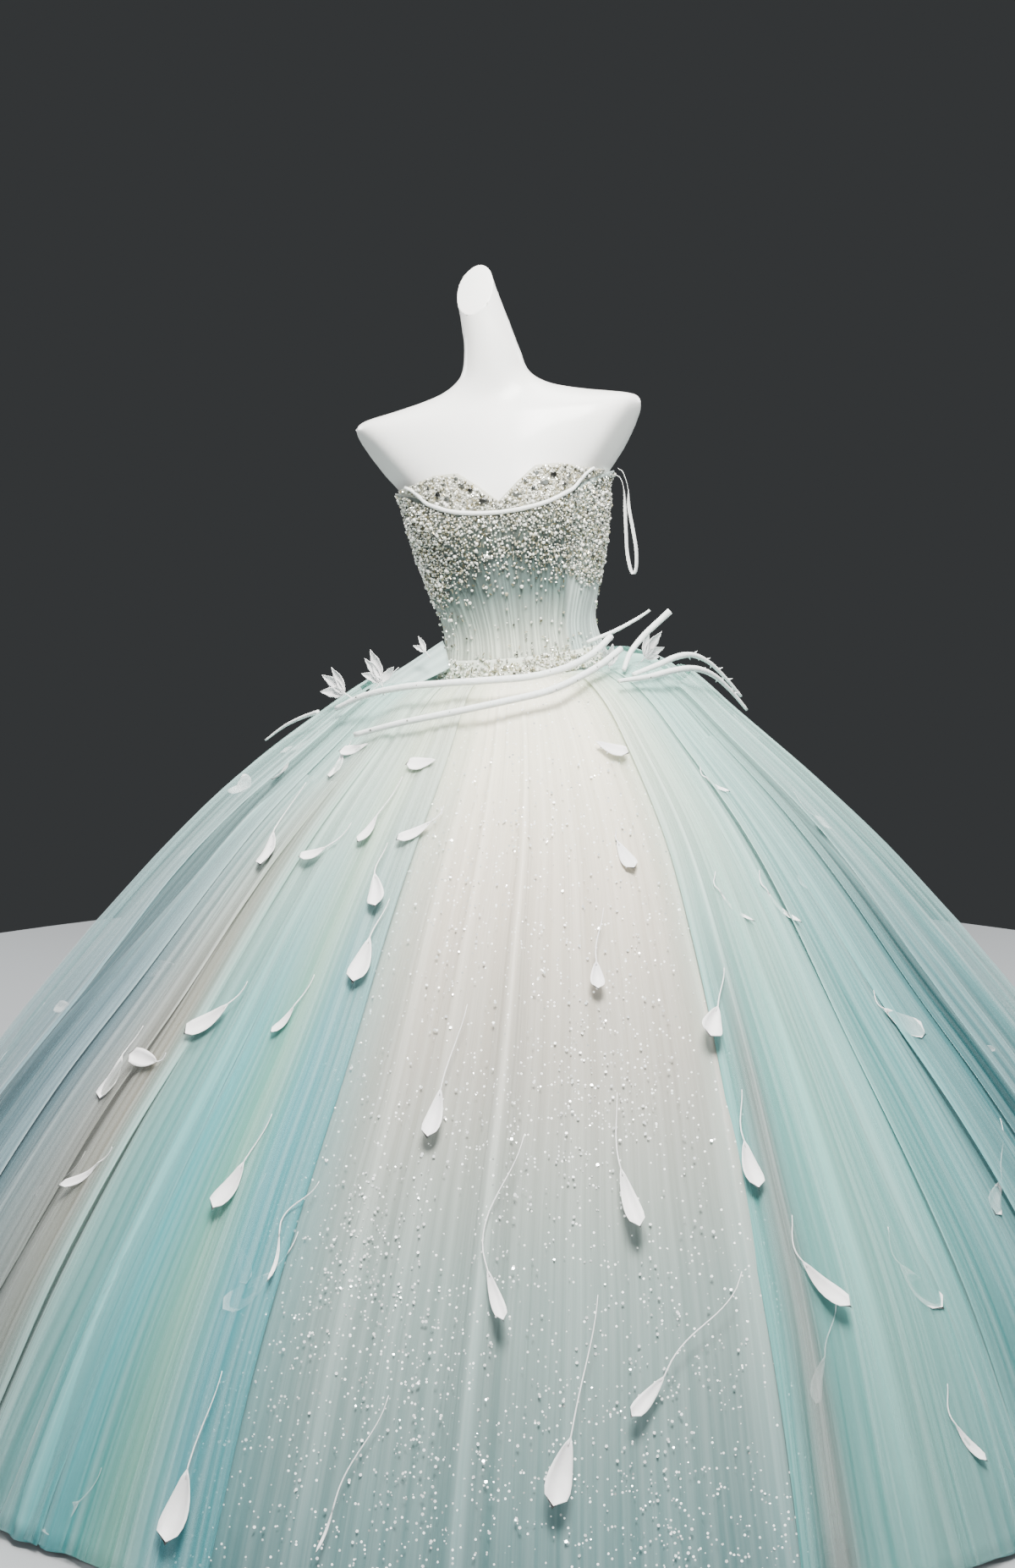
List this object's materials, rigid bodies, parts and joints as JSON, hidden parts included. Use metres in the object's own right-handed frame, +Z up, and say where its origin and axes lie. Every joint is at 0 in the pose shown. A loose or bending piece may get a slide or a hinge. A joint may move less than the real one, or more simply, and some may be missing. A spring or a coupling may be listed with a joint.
{
  "type": "strapless ball gown on a limbless dress form",
  "caption": "Floor-length strapless ball gown with a beaded bodice, full layered tulle skirt, twig and petal trim, on a white dress form with a round base.",
  "frame": {"origin": "centre of the round base's underside, on the floor", "axes": "+Z up, -Y the front of the gown, +X the viewer's right when facing the front"},
  "size_m": [2.1475, 2.0861, 1.6045],
  "materials": {
    "form_lacquer": "white lacquered fibreglass, soft gloss",
    "stand_steel": "brushed steel",
    "bodice_tulle": "ruched pale aqua tulle over satin, beaded",
    "cup_beading": "satin under dense silver, pearl and smoke beads",
    "piping_satin": "white satin piping",
    "bead_band": "band of silver and pearl beads",
    "placket_satin": "pale satin",
    "hanger_ribbon": "narrow white satin ribbon",
    "underskirt_satin": "pale satin",
    "tulle_glitter": "white tulle with fine glitter",
    "tulle_aqua": "aqua tulle",
    "tulle_drape": "sheer aqua tulle",
    "tulle_veil": "very sheer pale tulle",
    "twig_cover": "white fabric wound on wire",
    "leaf_cloth": "stiffened white cloth",
    "petal_cloth": "stiffened white cloth"
  },
  "bodies": {
    "root": {"back_placket": "placket_satin", "bodice_back_left": "bodice_tulle", "bodice_back_right": "bodice_tulle", "bodice_front": "bodice_tulle", "bodice_side_left": "bodice_tulle", "bodice_side_right": "bodice_tulle", "cup_left": "cup_beading", "cup_right": "cup_beading", "drape_back_left": "tulle_drape", "drape_back_right": "tulle_drape", "drape_left": "tulle_drape", "drape_right": "tulle_drape", "form_base": "stand_steel", "form_body": "form_lacquer", "form_pole": "stand_steel", "hanger_loop": "hanger_ribbon", "leaf_left_high": "leaf_cloth", "leaf_left_low": "leaf_cloth", "leaf_right": "leaf_cloth", "leaf_right_small": "leaf_cloth", "leaf_waist_left": "leaf_cloth", "neckline_piping": "piping_satin", "petal_01": "petal_cloth", "petal_02": "petal_cloth", "petal_03": "petal_cloth", "petal_04": "petal_cloth", "petal_05": "petal_cloth", "petal_06": "petal_cloth", "petal_07": "petal_cloth", "petal_08": "petal_cloth", "petal_09": "petal_cloth", "petal_10": "petal_cloth", "petal_11": "petal_cloth", "petal_12": "petal_cloth", "petal_13": "petal_cloth", "petal_14": "petal_cloth", "skirt_back_left": "tulle_aqua", "skirt_back_right": "tulle_aqua", "skirt_front_glitter": "tulle_glitter", "skirt_side_left": "tulle_aqua", "skirt_side_right": "tulle_aqua", "twig_fork": "twig_cover", "twig_fork_thin": "twig_cover", "twig_high": "twig_cover", "twig_hip_low": "twig_cover", "twig_hip_thorny": "twig_cover", "twig_left_tail": "twig_cover", "twig_low": "twig_cover", "underskirt_gore_1": "underskirt_satin", "underskirt_gore_2": "underskirt_satin", "underskirt_gore_3": "underskirt_satin", "underskirt_gore_4": "underskirt_satin", "underskirt_gore_5": "underskirt_satin", "underskirt_gore_6": "underskirt_satin", "underskirt_gore_7": "underskirt_satin", "underskirt_gore_8": "underskirt_satin", "veil_left": "tulle_veil", "veil_right": "tulle_veil", "waist_bead_band": "bead_band"}
  },
  "joints": []
}
